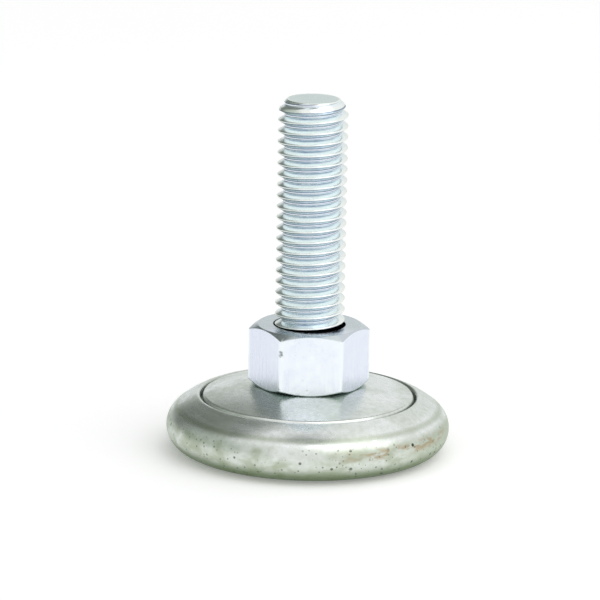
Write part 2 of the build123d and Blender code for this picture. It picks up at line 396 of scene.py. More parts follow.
class Shader:
    """Short ways to add and join nodes in one node tree."""

    def __init__(self, tree):
        self.tree = tree

    def node(self, kind, sockets=None, **settings):
        """Adds a node, sets it up and feeds its sockets with values or other sockets."""
        made = self.tree.nodes.new(kind)
        for name, value in settings.items():
            setattr(made, name, value)
        for name, value in (sockets or {}).items():
            self.feed(made.inputs[name], value)
        return made

    def feed(self, socket, value):
        """Sets a socket's value, or links another socket to it."""
        if isinstance(value, bpy.types.NodeSocket):
            self.tree.links.new(value, socket)
        elif socket.type == "RGBA" and len(value) == 3:
            socket.default_value = (*value, 1.0)
        else:
            socket.default_value = value

    def math(self, operation, first, second=0.0):
        """One step of arithmetic."""
        return self.node("ShaderNodeMath", {0: first, 1: second}, operation=operation).outputs[0]

    def times(self, first, second):
        """Product of two values."""
        return self.math("MULTIPLY", first, second)

    def plus(self, first, second):
        """Sum of two values."""
        return self.math("ADD", first, second)

    def minus(self, first, second):
        """First value less the second."""
        return self.math("SUBTRACT", first, second)

    def apart(self, first, second):
        """How far two values lie apart."""
        return self.math("ABSOLUTE", self.minus(first, second))

    def remap(self, value, low, high):
        """Smooth step from 0 at one value to 1 at another, which may be the lower of the two."""
        sockets = {"Value": value, "From Min": low, "From Max": high}
        return self.node("ShaderNodeMapRange", sockets, interpolation_type="SMOOTHSTEP").outputs[0]

    def mix(self, factor, first, second, blend="MIX"):
        """Mixes two colours."""
        made = self.node("ShaderNodeMix", data_type="RGBA", blend_type=blend, clamp_result=True)
        self.feed(made.inputs["Factor"], factor)
        self.feed(made.inputs[6], first)
        self.feed(made.inputs[7], second)
        return made.outputs[2]

    def noise(self, vector, scale, detail=3.0, distortion=0.0):
        """Noise from 0 to 1."""
        sockets = {"Vector": vector, "Scale": scale, "Detail": detail, "Distortion": distortion}
        return self.node("ShaderNodeTexNoise", sockets).outputs["Fac"]

    def ramp(self, value, stops):
        """Runs a value through a colour ramp of (place, colour) stops that go from 0 to 1."""
        made = self.node("ShaderNodeValToRGB", {"Fac": value})
        elements = made.color_ramp.elements
        for spot, tone in stops[1:-1]:
            elements.new(spot).color = (*tone, 1.0)
        elements[0].color = (*stops[0][1], 1.0)
        elements[-1].color = (*stops[-1][1], 1.0)
        return made.outputs["Color"]

    def near(self, vector, centre, radius):
        """Mask that is 1 close to a point and fades out at the radius."""
        gap = self.node("ShaderNodeVectorMath", {0: vector, 1: centre}, operation="DISTANCE")
        return self.remap(gap.outputs["Value"], radius, 0.6 * radius)

    def stretch(self, vector, scale):
        """A vector with each axis scaled."""
        return self.node("ShaderNodeMapping", {"Vector": vector, "Scale": scale}).outputs[0]

    def group(self, tree, sockets):
        """Places a node group with its own values."""
        made = self.tree.nodes.new("ShaderNodeGroup")
        made.node_tree = tree
        for name, value in sockets.items():
            self.feed(made.inputs[name], value)
        return made.outputs


def new_group(name, inputs, outputs):
    """Starts a shader node group; returns its tree, its Shader and its input and output sockets."""
    tree = bpy.data.node_groups.new(name, "ShaderNodeTree")
    for label, kind, default in inputs:
        socket = tree.interface.new_socket(label, in_out="INPUT", socket_type=kind)
        if default is not None:
            socket.default_value = default
    for label, kind in outputs:
        tree.interface.new_socket(label, in_out="OUTPUT", socket_type=kind)
    work = Shader(tree)
    return tree, work, work.node("NodeGroupInput").outputs, work.node("NodeGroupOutput").inputs


def axis_group(name):
    """Group for the distance from the stud's axis, the angle round it and the height."""
    tree, work, given, wanted = new_group(
        name,
        [("Vector", "NodeSocketVector", None)],
        [("Radius", "NodeSocketFloat"), ("Angle", "NodeSocketFloat"), ("Height", "NodeSocketFloat")],
    )
    parts = work.node("ShaderNodeSeparateXYZ", {"Vector": given["Vector"]}).outputs
    square = work.plus(work.times(parts[0], parts[0]), work.times(parts[1], parts[1]))
    work.feed(wanted["Radius"], work.math("SQRT", square))
    work.feed(wanted["Angle"], work.math("ARCTAN2", parts[1], parts[0]))
    work.feed(wanted["Height"], parts[2])
    return tree


def film_group(name):
    """Group for the uneven tint of a thin zinc film: broad drifts with a finer mottle over them."""
    tree, work, given, wanted = new_group(
        name,
        [
            ("Vector", "NodeSocketVector", None),
            ("Plain", "NodeSocketColor", (0.8, 0.8, 0.8, 1.0)),
            ("Tinted", "NodeSocketColor", (0.6, 0.6, 0.6, 1.0)),
            ("Drift scale", "NodeSocketFloat", 120.0),
            ("Mottle scale", "NodeSocketFloat", 900.0),
            ("Amount", "NodeSocketFloat", 0.5),
        ],
        [("Color", "NodeSocketColor"), ("Mask", "NodeSocketFloat")],
    )
    drift = work.remap(work.noise(given["Vector"], given["Drift scale"], 2.0, 0.6), 0.32, 0.68)
    mottle = work.remap(work.noise(given["Vector"], given["Mottle scale"], 4.0), 0.30, 0.74)
    both = work.plus(work.times(drift, 0.6), work.times(mottle, 0.4))
    mask = work.times(both, given["Amount"])
    work.feed(wanted["Color"], work.mix(mask, given["Plain"], given["Tinted"]))
    work.feed(wanted["Mask"], mask)
    return tree


def grain_group(name):
    """Group for fine surface grain: a soft satin texture with longer scratches along one direction."""
    tree, work, given, wanted = new_group(
        name,
        [
            ("Vector", "NodeSocketVector", None),
            ("Lay", "NodeSocketVector", None),
            ("Grain scale", "NodeSocketFloat", 6000.0),
            ("Scratch scale", "NodeSocketFloat", 900.0),
            ("Scratches", "NodeSocketFloat", 0.5),
        ],
        [("Height", "NodeSocketFloat"), ("Scratch", "NodeSocketFloat")],
    )
    grain = work.noise(given["Vector"], given["Grain scale"], 2.0)
    scratch = work.noise(given["Lay"], given["Scratch scale"], 4.0, 0.3)
    strong = work.times(scratch, given["Scratches"])
    work.feed(wanted["Height"], work.plus(work.times(grain, 0.5), strong))
    work.feed(wanted["Scratch"], work.remap(scratch, 0.38, 0.66))
    return tree


def pits_group(name):
    """Group for scattered pits: round hollows of uneven size that come in patches."""
    tree, work, given, wanted = new_group(
        name,
        [
            ("Vector", "NodeSocketVector", None),
            ("Scale", "NodeSocketFloat", 900.0),
            ("Size", "NodeSocketFloat", 0.22),
            ("Patch scale", "NodeSocketFloat", 160.0),
            ("Cover", "NodeSocketFloat", 0.5),
        ],
        [("Mask", "NodeSocketFloat")],
    )
    cells = work.node(
        "ShaderNodeTexVoronoi", {"Vector": given["Vector"], "Scale": given["Scale"], "Randomness": 1.0}
    ).outputs
    spread = work.node("ShaderNodeSeparateColor", {"Color": cells["Color"]}).outputs
    reach = work.times(given["Size"], work.remap(spread[0], 0.45, 1.0))
    hollow = work.remap(work.minus(reach, cells["Distance"]), 0.0, 0.10)
    patch = work.noise(given["Vector"], given["Patch scale"], 2.0)
    edge = work.minus(1.0, given["Cover"])
    inside = work.remap(work.minus(patch, edge), -0.04, 0.10)
    work.feed(wanted["Mask"], work.times(hollow, inside))
    return tree


GROUPS = {
    "axis": ("Around the axis", axis_group),
    "film": ("Zinc film", film_group),
    "grain": ("Metal grain", grain_group),
    "pits": ("Pits", pits_group),
}


def shared(name):
    """A shared node group, built the first time that it is asked for."""
    label, build = GROUPS[name]
    return bpy.data.node_groups.get(label) or build(label)


def new_material(name):
    """Starts a material; returns it, its Shader, its Principled node and its object coordinates."""
    made = bpy.data.materials.new(name)
    made.use_nodes = True
    work = Shader(made.node_tree)
    surface = made.node_tree.nodes["Principled BSDF"]
    place = work.node("ShaderNodeTexCoord").outputs["Object"]
    return made, work, surface, place


def metal(surface):
    """Makes a Principled shader a plated metal whose grazing reflections are duller than its face."""
    surface.inputs["Metallic"].default_value = 1.0
    surface.inputs["Specular Tint"].default_value = (0.84, 0.87, 0.86, 1.0)


def film_over(work, place, plain, tinted, drift, mottle, amount):
    """Zinc film's colour and mask, from its two colours and the scales of its drifts and mottle."""
    sockets = {"Vector": place, "Plain": plain, "Tinted": tinted}
    sockets |= {"Drift scale": drift, "Mottle scale": mottle, "Amount": amount}
    return work.group(shared("film"), sockets)


def grain_along(work, place, lay, grain, scratch, amount):
    """Metal grain's height and scratches, which run the way that the lay vector is stretched."""
    sockets = {"Vector": place, "Lay": lay}
    sockets |= {"Grain scale": grain, "Scratch scale": scratch, "Scratches": amount}
    return work.group(shared("grain"), sockets)


def pits_in(work, place, scale, size, patch, cover):
    """Mask of scattered pits."""
    sockets = {"Vector": place, "Scale": scale, "Size": size, "Patch scale": patch, "Cover": cover}
    return work.group(shared("pits"), sockets)["Mask"]


def wrapped(work, axis, squash):
    """Angle, radius and height as one vector; the squashed angle makes marks run round the axis."""
    sockets = {"X": work.times(axis["Angle"], squash), "Y": axis["Radius"], "Z": axis["Height"]}
    return work.node("ShaderNodeCombineXYZ", sockets).outputs[0]


def finish_surface(work, surface, color, roughness, height, depth, strength):
    """Feeds a Principled shader with a colour, a roughness and a bump made from a height."""
    work.feed(surface.inputs["Base Color"], color)
    work.feed(surface.inputs["Roughness"], roughness)
    bump = work.node("ShaderNodeBump", {"Strength": strength, "Distance": depth, "Height": height})
    work.feed(surface.inputs["Normal"], bump.outputs[0])


# ---- Finishes ----

# Painted light and shade over one pitch, from mid groove through the crest at 0.5 to mid groove again:
# dark painted shade lines beside the roots and crests between paler stripes
STUD_SHADE_BANDS = (
    (0.00, "stud_root"),
    (0.04, "stud_root"),
    (0.08, "stud_shade_lines"),
    (0.12, "stud_shade_lines"),
    (0.18, "stud_upper"),
    (0.33, "stud_upper"),
    (0.39, "stud_shade_lines"),
    (0.44, "stud_shade_lines"),
    (0.49, "stud_crest"),
    (0.66, "stud_crest"),
    (0.84, "stud_upper"),
    (0.91, "stud_upper"),
    (0.95, "stud_shade_lines"),
    (1.00, "stud_root"),
)
# The side's dull film and its painted shade fade in between these heights.
SIDE_HEIGHTS = (7.4 * MM, 6.0 * MM)  # the side's dull film fades in between these
# The lower edge's painted shade fades in between these heights.
LOW_EDGE_SHADE_HEIGHTS = (3.9 * MM, 1.4 * MM)  # the olive lower edge fades in between these
CREASE_RADIUS = 23.55 * MM  # where the crown meets the roll
BELT_HEIGHT = 5.4 * MM  # middle of the stained and pitted belt
STAIN_ANGLE = radians(-48)  # middle of the stained part, as seen from above
# Painted shade: a darker reflection painted on one part of the side, centred at this angle.
RIGHT_SHADE_ANGLE = radians(-12)  # middle of the dullest part of the side
# Painted highlight on the upright corners fades in between these radii.
NUT_CORNER_HIGHLIGHT_RADII = (10.5 * MM, 10.8 * MM)  # the corners' brighter plate fades in between these
NICK_RADIUS = 0.46 * MM
END_FACE_RADII = (4.55 * MM, 4.30 * MM)  # the end face's tint fades in between these


def base_material(colours, joint_radius):
    """Satin zinc plate on pressed steel: mottled, pitted on its side and dull low down, with painted
    shade along the shoulder, in the groove, over the side and on the lower edge.
    """
    made, work, surface, place = new_material("Satin zinc plate")
    axis = work.group(shared("axis"), {"Vector": place})
    film = film_over(work, place, colours.base, colours.base_dull_and_shade, 95.0, 1100.0, 0.62)
    around = wrapped(work, axis, 0.004)
    grain = grain_along(work, place, around, 5200.0, 1500.0, 0.35)
    speckle = pits_in(work, place, 1700.0, 0.40, 240.0, 0.58)
    pits = pits_in(work, place, 900.0, 0.34, 150.0, 0.56)
    side = work.remap(axis["Height"], *SIDE_HEIGHTS)
    low = work.remap(axis["Height"], *LOW_EDGE_SHADE_HEIGHTS)
    ring_gap = work.apart(axis["Radius"], joint_radius)
    # Painted shade in the groove between the lip and the plate.
    groove_shade = work.remap(ring_gap, 0.55 * MM, 0.15 * MM)
    shoulder = work.apart(axis["Radius"], CREASE_RADIUS)
    off_stain = work.apart(axis["Angle"], STAIN_ANGLE)
    off_right = work.apart(axis["Angle"], RIGHT_SHADE_ANGLE)
    stain_side = work.remap(off_stain, radians(40), radians(16))
    # Painted shade: a darker sector of the side, standing for a dark reflection.
    right_shade = work.times(work.remap(off_right, radians(46), radians(16)), side)
    # Painted shade: a dark band along the shoulder where the crown meets the roll.
    crease_shade = work.math(
        "MULTIPLY",
        work.remap(shoulder, 0.80 * MM, 0.05 * MM),
        work.remap(axis["Height"], 6.2 * MM, 7.0 * MM),
    )
    streak = work.noise(work.stretch(place, (1.0, 1.0, 4.0)), 380.0, 4.0, 0.4)
    off_belt = work.apart(axis["Height"], BELT_HEIGHT)
    belt = work.remap(off_belt, 1.3 * MM, 0.3 * MM)
    stained = work.times(work.times(belt, stain_side), work.remap(streak, 0.44, 0.58))
    cloud = work.remap(work.noise(work.stretch(place, (1.0, 1.0, 1.6)), 210.0, 5.0, 0.5), 0.40, 0.66)
    # Cloudy dull film over the side, with a painted shade of the darker floor's reflection laid over the
    # whole side.
    tarnish_and_shade = work.times(work.plus(work.times(cloud, 0.72), 0.24), side)
    # Painted shade along the shoulder, then over the side, then the side's darker sector.
    sheet = work.mix(work.times(crease_shade, 0.65), film["Color"], colours.base_dull_and_shade)
    sheet = work.mix(tarnish_and_shade, sheet, colours.base_dull_and_shade)
    sheet = work.mix(work.times(right_shade, 0.75), sheet, colours.base_dull_and_shade)
    sheet = work.mix(work.times(stained, 0.75), sheet, colours.stain)
    # Olive plate on the lower edge, darkened with painted shade.
    sheet = work.mix(work.times(low, 0.85), sheet, colours.low)
    marks = work.times(speckle, work.plus(work.times(side, 0.5), 0.05))
    sheet = work.mix(marks, sheet, colours.grime)
    row = work.times(work.times(belt, stain_side), 0.8)
    holes = work.times(pits, work.plus(side, row))
    # Dirt in the pits, and painted shade in the groove, both in the grime colour.
    dirt_and_groove_shade = work.math("MAXIMUM", work.times(holes, 0.8), work.times(groove_shade, 0.35))
    sheet = work.mix(dirt_and_groove_shade, sheet, colours.grime)
    rough = work.plus(0.20, work.times(film["Mask"], 0.20))
    rough = work.plus(rough, work.times(side, 0.10))
    rough = work.plus(rough, work.times(grain["Scratch"], 0.06))
    sunk = work.plus(work.times(holes, 3.0), work.times(marks, 1.0))
    height = work.minus(grain["Height"], sunk)
    metal(surface)
    finish_surface(work, surface, sheet, rough, height, 0.012 * MM, 0.55)
    return made


def nut_material(colours, bottom, top, circle, nick):
    """Bright zinc plate on a cold-formed nut: upright brushing on the flats, greener turned ends,
    painted shade on the side flats, the lower chamfer and the end faces away from the front, and a
    painted highlight on the upright corners.
    """
    made, work, surface, place = new_material("Bright zinc plate")
    axis = work.group(shared("axis"), {"Vector": place})
    film = film_over(work, place, colours.nut, colours.nut_violet_and_shade, 170.0, 900.0, 0.7)
    upright = work.stretch(place, (1.0, 1.0, 0.06))
    grain = grain_along(work, place, upright, 5000.0, 1900.0, 0.5)
    pits = pits_in(work, place, 700.0, 0.20, 210.0, 0.46)
    off_middle = work.apart(axis["Height"], (bottom + top) / 2)
    depth = work.minus((top - bottom) / 2, off_middle)
    outside = work.minus(axis["Radius"], circle)
    cone = work.remap(work.minus(outside, work.times(depth, sqrt(3))), -0.30 * MM, -0.05 * MM)
    corners = work.remap(axis["Radius"], *NUT_CORNER_HIGHLIGHT_RADII)
    off_front = work.apart(axis["Angle"], -pi / 2)
    # Painted shade: every flat but the front one is mixed towards the darker violet tint.
    side_flat_shade = work.remap(off_front, radians(29), radians(32))
    plate = work.mix(work.times(side_flat_shade, 0.55), film["Color"], colours.nut_violet_and_shade)
    # Greener turned chamfers, with painted shade that grows down the lower chamfer and lies on the end
    # faces away from the front.
    lower = work.remap(axis["Height"], (bottom + top) / 2, bottom)
    face = work.times(work.remap(depth, 0.10 * MM, 0.0), work.remap(off_front, radians(35), radians(75)))
    shade = work.plus(0.42, work.times(lower, 0.55))
    turned = work.math("MAXIMUM", work.times(face, 0.5), work.times(cone, shade))
    plate = work.mix(turned, plate, colours.nut_green_and_shade)
    # Painted highlight: the upright corners are mixed back to the plain nut colour.
    corner_highlight = work.times(corners, work.minus(1.0, cone))
    plate = work.mix(corner_highlight, plate, colours.nut)
    holes = work.times(pits, work.remap(axis["Height"], bottom + 4.5 * MM, bottom + 0.6 * MM))
    marks = work.math("MAXIMUM", holes, work.near(place, nick, NICK_RADIUS))
    plate = work.mix(work.times(marks, 0.78), plate, colours.grime)
    rough = work.plus(0.17, work.times(film["Mask"], 0.10))
    rough = work.plus(rough, work.times(grain["Scratch"], 0.07))
    height = work.minus(grain["Height"], work.times(holes, 3.0))
    metal(surface)
    finish_surface(work, surface, plate, rough, height, 0.008 * MM, 0.5)
    return made


def stud_material(colours, thread, top):
    """Blue-clear zinc plate on a rolled thread, with painted light and shade banded from root to crest
    and back once a pitch.
    """
    made, work, surface, place = new_material("Blue zinc plate")
    axis = work.group(shared("axis"), {"Vector": place})
    turns = work.math("DIVIDE", work.minus(axis["Angle"], thread.start_angle), 2 * pi)
    rise = work.math("DIVIDE", work.minus(axis["Height"], thread.groove_height), THREAD_PITCH)
    drift = work.minus(work.noise(work.stretch(place, (1.0, 1.0, 2.0)), 420.0, 3.0), 0.5)
    phase = work.minus(rise, turns)
    bent = work.plus(phase, work.times(drift, 0.05))
    stops = [(spot, getattr(colours, tone)) for spot, tone in STUD_SHADE_BANDS]
    # Painted light and shade in stripes that follow the thread's helix.
    shaded_bands = work.ramp(work.math("FRACT", bent), stops)
    paler = work.mix(0.35, shaded_bands, colours.stud_crest)
    film = film_over(work, place, shaded_bands, paler, 210.0, 1300.0, 0.9)
    along = wrapped(work, axis, 0.0008)
    grain = grain_along(work, place, along, 5600.0, 2600.0, 0.45)
    face = work.remap(axis["Height"], top - 0.30 * MM, top - 0.05 * MM)
    inner = work.times(face, work.remap(axis["Radius"], *END_FACE_RADII))
    plate = work.mix(face, film["Color"], colours.stud_crest)
    plate = work.mix(inner, plate, colours.stud_end)
    rough = work.plus(0.15, work.times(film["Mask"], 0.12))
    rough = work.plus(rough, work.times(grain["Scratch"], 0.06))
    metal(surface)
    finish_surface(work, surface, plate, rough, grain["Height"], 0.008 * MM, 0.5)
    return made


def mill_material(colours):
    """Uncoated rolled steel inside the base, oily and unevenly dark."""
    made, work, surface, place = new_material("Mill steel")
    darker = tuple(0.45 * part for part in colours.mill)
    film = film_over(work, place, colours.mill, darker, 90.0, 700.0, 0.8)
    lay = work.stretch(place, (0.05, 1.0, 1.0))
    grain = grain_along(work, place, lay, 4000.0, 1600.0, 0.6)
    rough = work.plus(0.34, work.times(grain["Scratch"], 0.16))
    metal(surface)
    finish_surface(work, surface, film["Color"], rough, grain["Height"], 0.01 * MM, 0.6)
    return made


def nylon_material(name, tone, depth):
    """Moulded nylon with a fine eroded texture and faint clouding."""
    made, work, surface, place = new_material(name)
    lighter = tuple(min(1.0, 1.5 * part + 0.01) for part in tone)
    film = film_over(work, place, tone, lighter, 130.0, 800.0, 0.7)
    grain = grain_along(work, place, place, 3400.0, 1200.0, 0.2)
    rough = work.plus(0.42, work.times(film["Mask"], 0.2))
    finish_surface(work, surface, film["Color"], rough, grain["Height"], depth, 0.7)
    return made


# ---- Operators: one for each piece or group of like pieces, and one for the stage ----


def base_outline(base):
    """Points of the pressed base's section that the rim, the top plate and the finish share."""
    roll_centre = (RIM_HIGH.x - base.roll, RIM_LOW.z + base.roll)
    crown_centre = on_circle(roll_centre, base.roll - base.crown, base.shoulder)
    return roll_centre, crown_centre, base.crown - base.sheet


class LEVELINGFOOT_OT_rim(bpy.types.Operator):
    """Make the rolled rim shell with its crimped lip, domed crown and turned-in bottom flange"""

    bl_idname = "levelingfoot.rim"
    bl_label = "Rim shell"

    def execute(self, context):
        base = context.scene.leveling_foot_base
        roll_centre, crown_centre, under = base_outline(base)
        inner_roll = base.roll - base.sheet
        lip_angle = angle_at(crown_centre, base.crown, base.lip)
        top = on_circle(crown_centre, base.crown, lip_angle)
        below = on_circle(crown_centre, under, lip_angle)
        crown_next = on_circle(crown_centre, base.crown, lip_angle - 0.08)
        flange = RIM_LOW.z + base.sheet
        outline = [below]
        outline += run(below, top, 4)
        outline += rounded(below, top, crown_next, base.lip_rounding, 8)
        start = atan2(outline[-1][1] - crown_centre[1], outline[-1][0] - crown_centre[0])
        outline += arc(crown_centre, base.crown, start, base.shoulder, 26)[1:]
        outline += arc(roll_centre, base.roll, base.shoulder, -pi / 2, 34)[1:]
        outline += run(outline[-1], (base.opening, RIM_LOW.z), 5)
        outline += [(base.opening, RIM_LOW.z), (base.opening, flange)]
        outline += arc(roll_centre, inner_roll, -pi / 2, base.shoulder, 18)
        outline += arc(crown_centre, under, base.shoulder, lip_angle, 12)[1:-1]
        mesh = bmesh.new()
        lathe(mesh, outline, base.steps, closed=True)
        for vert in mesh.verts:
            spot = vert.co
            out = Vector((spot.x, spot.y, 0.0)).normalized()
            slow = 0.5 + 0.5 * noise.noise(spot * 110.0)
            fine = 0.5 + 0.5 * noise.noise(spot * 420.0 + Vector((3.0, 1.0, 7.0)))
            vert.co -= out * base.waviness * (0.75 * slow + 0.25 * fine)
        for angle, height, radius, depth in RIM_DENTS:
            place = Vector((*on_circle((0, 0), RIM_HIGH.x, radians(angle)), height * MM))
            dent(mesh, place, radius * MM, depth * MM)
        finish = base_material(context.scene.leveling_foot_colours, base.lip - base.groove / 2)
        piece = make_object(mesh, "rim", finish, 40.0)
        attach(piece, "base")
        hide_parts("rim_shell")
        return {"FINISHED"}


class LEVELINGFOOT_OT_plate(bpy.types.Operator):
    """Make the conical top plate that the nut sits on"""

    bl_idname = "levelingfoot.plate"
    bl_label = "Top plate"

    def execute(self, context):
        base = context.scene.leveling_foot_base
        _, crown_centre, under = base_outline(base)
        top = PLATE_HIGH.z
        below = top - base.plate
        edge = base.lip - base.groove
        rise = (top + base.plate_edge) / 2 + base.plate_bulge
        middle = ((base.seat + edge) / 2, rise)
        flange_angle = angle_at(crown_centre, under, PLATE_HIGH.x)
        groove_angle = angle_at(crown_centre, under, edge)
        groove_floor = on_circle(crown_centre, under, groove_angle)
        flange = on_circle(crown_centre, under, flange_angle)
        flange_low = flange[1] - base.flange_edge
        cone_start, cone_end = (base.seat, top), (edge, base.plate_edge)
        cone = []
        for step in range(1, 24):
            part = step / 24
            straight = Vector(cone_start).lerp(Vector(cone_end), part)
            lift = (middle[1] - (cone_start[1] + cone_end[1]) / 2) * 4 * part * (1 - part)
            cone.append((straight.x, straight.y + lift))
        outline = [(base.hole, below), (base.hole, top - 0.15 * MM), (base.hole + 0.15 * MM, top)]
        outline += run(outline[-1], cone_start, 6) + [cone_start] + cone
        outline += rounded(cone[-1], cone_end, groove_floor, base.plate_rounding, 7)
        outline += run(outline[-1], groove_floor, 4)
        outline += arc(crown_centre, under, groove_angle, flange_angle, 6)
        outline += [(PLATE_HIGH.x, flange_low), (PLATE_HIGH.x - base.wall, flange_low)]
        outline += [(base.seat + base.plate / 2, below)]
        mesh = bmesh.new()
        lathe(mesh, outline, base.steps, closed=True)
        for vert in mesh.verts:
            spot = vert.co
            far = sqrt(spot.x**2 + spot.y**2)
            if spot.z > base.plate_edge - 0.5 * MM and far > base.seat + 0.5 * MM:
                press = 0.5 + 0.5 * noise.noise(spot * 130.0 + Vector((9.0, 2.0, 4.0)))
                vert.co.z -= base.waviness * press * min(1.0, (far - base.seat) / (2 * MM))
        finish = base_material(context.scene.leveling_foot_colours, base.lip - base.groove / 2)
        piece = make_object(mesh, "plate", finish, 40.0)
        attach(piece, "base")
        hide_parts("top_plate")
        return {"FINISHED"}


class LEVELINGFOOT_OT_pad(bpy.types.Operator):
    """Make the floor pad in the bottom opening"""

    bl_idname = "levelingfoot.pad"
    bl_label = "Floor pad"

    def execute(self, context):
        base = context.scene.leveling_foot_base
        cut = base.pad_chamfer
        rim = PAD_HIGH.x
        outline = [(0.0, 0.0)] + run((0.0, 0.0), (rim - cut, 0.0), 12)
        outline += rounded((0.0, 0.0), (rim - cut, 0.0), (rim, cut), cut / 2, 5)
        outline += rounded((rim - cut, 0.0), (rim, cut), (rim, PAD_HIGH.z), cut / 2, 5)
        outline += [(rim, PAD_HIGH.z)] + run((rim, PAD_HIGH.z), (0.0, PAD_HIGH.z), 8)
        outline += [(0.0, PAD_HIGH.z)]
        mesh = bmesh.new()
        lathe(mesh, outline, base.steps // 2, closed=False)
        tone = tuple(context.scene.leveling_foot_colours.pad)
        piece = make_object(mesh, "pad", nylon_material("Dark nylon", tone, 0.02 * MM))
        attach(piece, "base")
        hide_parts("floor_pad")
        return {"FINISHED"}


class LEVELINGFOOT_OT_stud(bpy.types.Operator):
    """Make the stud: hidden head and journal, undercut, rolled thread and chamfered end"""

    bl_idname = "levelingfoot.stud"
    bl_label = "Threaded stud"

    def execute(self, context):
        thread = context.scene.leveling_foot_thread
        top = STUD_HIGH.z
        low = thread.bottom
        mesh = bmesh.new()
        helix(mesh, self.section(thread), low, top, thread)
        for vert in mesh.verts:
            near = max(0.0, 1.0 - (top - vert.co.z) / thread.end_run)
            limit = THREAD_RADIUS - thread.end_inset * near**1.6
            far = sqrt(vert.co.x**2 + vert.co.y**2)
            if far > limit:
                vert.co.x *= limit / far
                vert.co.y *= limit / far
        wide = STUD_HIGH.x
        base_z = STUD_LOW.z
        soft = thread.head_rounding
        outline = [(0.0, base_z)] + run((0.0, base_z), (wide, base_z), 5)
        outline += rounded((0.0, base_z), (wide, base_z), (wide, thread.head_top), soft, 6)
        outline += rounded((wide, base_z), (wide, thread.head_top), (0.0, thread.head_top), soft, 6)
        outline += [(THREAD_RADIUS, thread.head_top), (THREAD_RADIUS, thread.journal_top)]
        outline += [(thread.relief_radius, thread.journal_top), (thread.relief_radius, low)]
        lathe(mesh, outline, thread.steps, closed=False)
        end = THREAD_RADIUS - thread.end_inset - 0.15 * MM
        cap = [(end, top)] + run((end, top), (0.0, top), 9) + [(0.0, top)]
        lathe(mesh, cap, thread.steps, closed=False)
        for height in (low, top):
            bmesh.ops.bridge_loops(mesh, edges=rim_at(mesh, height))
        finish = stud_material(context.scene.leveling_foot_colours, thread, top)
        piece = make_object(mesh, "stud", finish, 50.0)
        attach(piece, "stud")
        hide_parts("threaded_stud")
        return {"FINISHED"}

    def section(self, thread):
        """One pitch of thread from mid groove to mid groove, with crest and root rolled round."""
        crest, root = THREAD_RADIUS, thread.root_radius
        half = THREAD_PITCH / 2
        crest_round = thread.crest_rounding
        root_round = half / tan(FLANK_ANGLE) - (crest - root) - crest_round
        lean = pi / 2 - FLANK_ANGLE
        rising_root = arc((root + root_round, 0.0), root_round, pi, pi - lean, 4)
        top = arc((crest - crest_round, half), crest_round, -lean, lean, 8)
        falling_root = arc((root + root_round, THREAD_PITCH), root_round, pi + lean, pi, 4)
        outline = rising_root + run(rising_root[-1], top[0], 4)
        return outline + top + run(top[-1], falling_root[0], 4) + falling_root[:-1]


